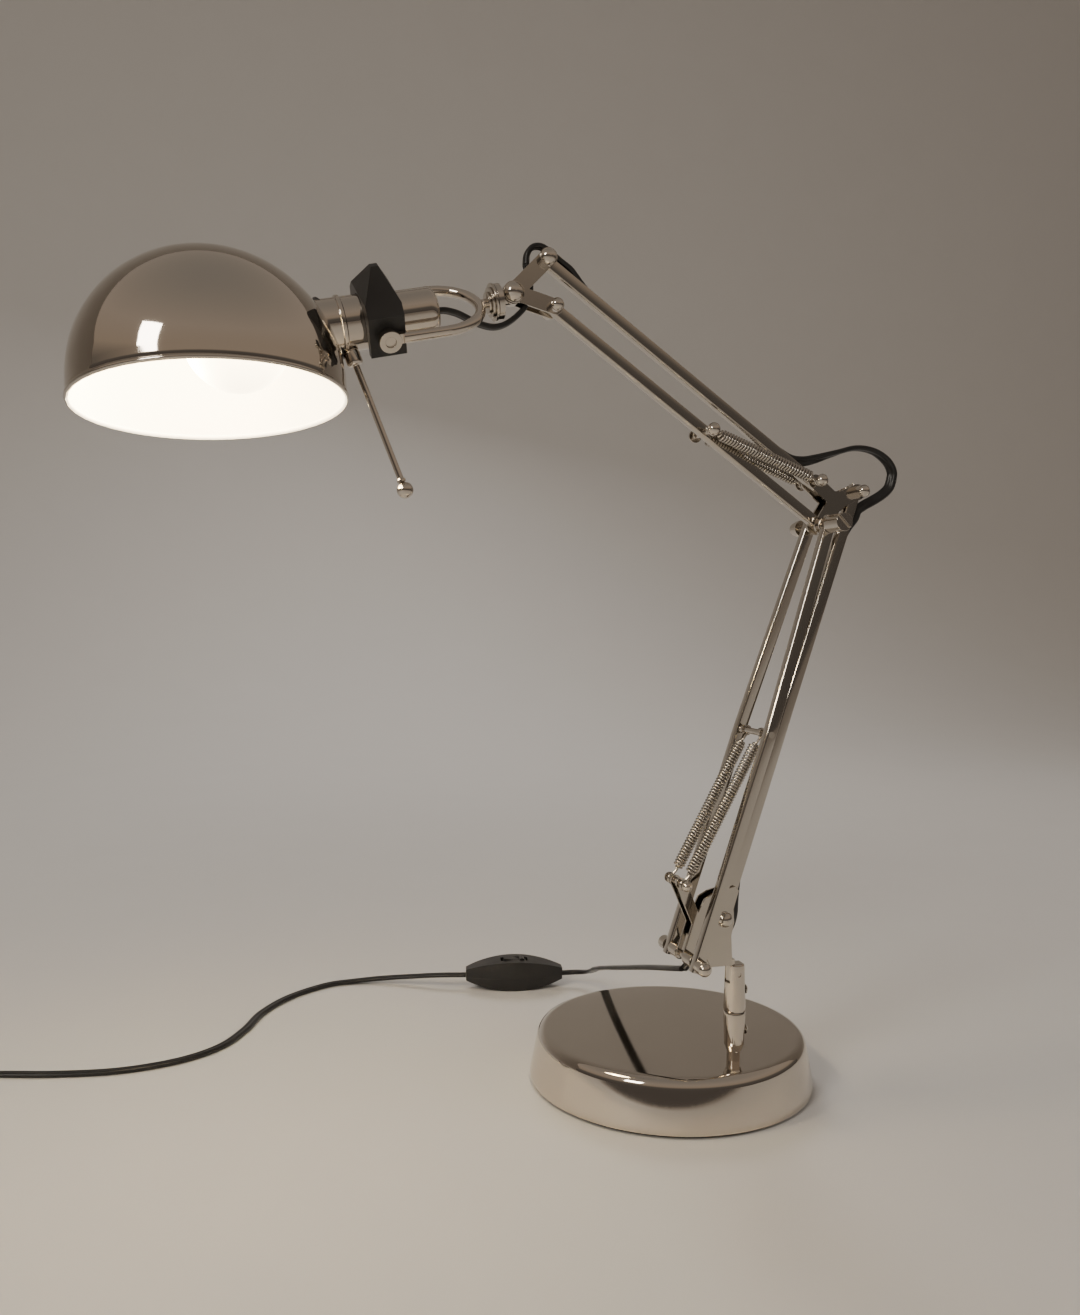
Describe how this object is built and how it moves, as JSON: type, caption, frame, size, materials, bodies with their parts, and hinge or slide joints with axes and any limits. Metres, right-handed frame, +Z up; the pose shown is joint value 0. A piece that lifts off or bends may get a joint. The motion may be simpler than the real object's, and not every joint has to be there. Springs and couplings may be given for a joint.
{
  "type": "swing arm desk lamp",
  "caption": "Desk lamp with a round weighted base, sprung parallelogram arms, a rod yoke and a small nickel-plated dome shade.",
  "frame": {"origin": "centre of the base's underside, on the surface the lamp stands on", "axes": "+Z up; the arms lie in a plane parallel to XZ, 50 mm towards -Y of the centre, and reach towards -X; +Y is towards the cord's switch"},
  "size_m": [0.551, 0.3578, 0.4174],
  "materials": {
    "plated": "satin nickel plate",
    "bright": "polished nickel plate",
    "spring": "bright spring wire",
    "iron": "raw",
    "foam": "matt",
    "moulded": "fine satin black",
    "cord": "satin black PVC",
    "socket": "white",
    "glass": "opal"
  },
  "bodies": {
    "base": {"base_shell": "bright", "base_weight": "iron", "base_pad": "foam", "post_nut": "plated", "post_lower": "plated", "swivel_pin": "plated", "post_lower_screw": "plated", "switch_bottom": "moulded", "switch_top": "moulded", "cord_lead": "cord", "cord_run": "cord", "cord_coil": "cord", "cord_tail": "cord", "plug_body": "moulded", "plug_pins": "plated"},
    "rocker": {"switch_rocker": "moulded"},
    "turret": {"post_upper": "plated", "post_upper_screw": "plated", "foot_bracket": "plated", "bracket_spacer": "plated", "foot_rod": "plated", "foot_rod_nuts": "plated", "rear_pin": "plated", "spring_anchor": "plated", "bracket_cord": "cord"},
    "front_arm": {"front_bar_near": "plated", "front_bar_far": "plated", "front_crossbar": "plated", "lower_springs": "spring"},
    "rear_arm": {"rear_bar": "plated", "rear_bar_cord": "cord"},
    "elbow": {"elbow_bracket": "plated", "elbow_screw": "plated", "elbow_nut": "plated", "elbow_spacers": "plated", "elbow_pins": "plated", "elbow_cord_lower": "cord", "elbow_cord_upper": "cord"},
    "upper_arm": {"upper_bar": "plated", "upper_bar_cord": "cord"},
    "link": {"lower_link": "plated", "spring_post": "plated", "upper_springs": "spring"},
    "head": {"head_bracket": "plated", "head_pins": "plated", "head_cord": "cord", "knuckle_screw": "plated"},
    "knuckle": {"knuckle_block": "plated", "yoke_cord": "cord"},
    "yoke": {"yoke": "bright", "stem_washers": "plated"},
    "clamp": {"clamp": "moulded", "clamp_screws": "plated"},
    "shade": {"holder_sleeve": "bright", "holder_cap": "bright", "lamp_socket": "socket", "shade_ring": "moulded", "shade": "bright", "bulb": "glass", "aiming_stick": "bright"}
  },
  "joints": [
    {"name": "switch_rock", "type": "hinge", "parent": "base", "child": "rocker", "pos_m": [-0.043, 0.1637, 0.015], "axis": [-0.1908, -0.9816, 0], "range_deg": [0, 16]},
    {"name": "turn", "type": "hinge", "parent": "base", "child": "turret", "pos_m": [0.013, -0.05, 0.0515], "axis": [0, 0, 1], "range_deg": [-160, 160]},
    {"name": "lower_lean", "type": "hinge", "parent": "turret", "child": "rear_arm", "pos_m": [0.0052, -0.05, 0.0982], "axis": [0, 1, 0], "range_deg": [-60, 12], "deforming": ["bracket_cord"]},
    {"name": "lower_front", "type": "hinge", "parent": "turret", "child": "front_arm", "pos_m": [-0.0145, -0.05, 0.081], "axis": [0, 1, 0], "range_deg": [-60, 12], "deforming": ["lower_springs"]},
    {"name": "elbow_level", "type": "hinge", "parent": "rear_arm", "child": "elbow", "pos_m": [0.0752, -0.05, 0.3097], "axis": [0, 1, 0], "range_deg": [-12, 60], "deforming": ["elbow_cord_lower"]},
    {"name": "upper_lift", "type": "hinge", "parent": "elbow", "child": "upper_arm", "pos_m": [0.0513, -0.05, 0.3139], "axis": [0, 1, 0], "range_deg": [-54, 26], "deforming": ["elbow_cord_upper"]},
    {"name": "upper_link", "type": "hinge", "parent": "elbow", "child": "link", "pos_m": [0.0555, -0.05, 0.2925], "axis": [0, 1, 0], "range_deg": [-54, 26], "deforming": ["upper_springs"]},
    {"name": "head_level", "type": "hinge", "parent": "upper_arm", "child": "head", "pos_m": [-0.0885, -0.05, 0.4096], "axis": [0, 1, 0], "range_deg": [-26, 54], "deforming": ["head_cord"]},
    {"name": "knuckle_tilt", "type": "hinge", "parent": "head", "child": "knuckle", "pos_m": [-0.104, -0.05, 0.393], "axis": [0, 1, 0], "range_deg": [-40, 40], "deforming": ["yoke_cord"]},
    {"name": "yoke_swivel", "type": "hinge", "parent": "knuckle", "child": "yoke", "pos_m": [-0.165, -0.05, 0.3765], "axis": [0.9744, 0, 0.225], "range_deg": [-130, 50]},
    {"name": "clamp_tilt", "type": "hinge", "parent": "yoke", "child": "clamp", "pos_m": [-0.165, -0.05, 0.3765], "axis": [0.1446, -0.766, -0.6263], "range_deg": [-50, 50]},
    {"name": "shade_roll", "type": "hinge", "parent": "clamp", "child": "shade", "pos_m": [-0.165, -0.05, 0.3765], "axis": [0.9744, 0, 0.225], "range_deg": [-90, 90]}
  ],
  "couplings": [
    {"joint": "lower_front", "follows": "lower_lean", "ratio": 1},
    {"joint": "elbow_level", "follows": "lower_lean", "ratio": -1},
    {"joint": "upper_link", "follows": "upper_lift", "ratio": 1},
    {"joint": "head_level", "follows": "upper_lift", "ratio": -1}
  ]
}
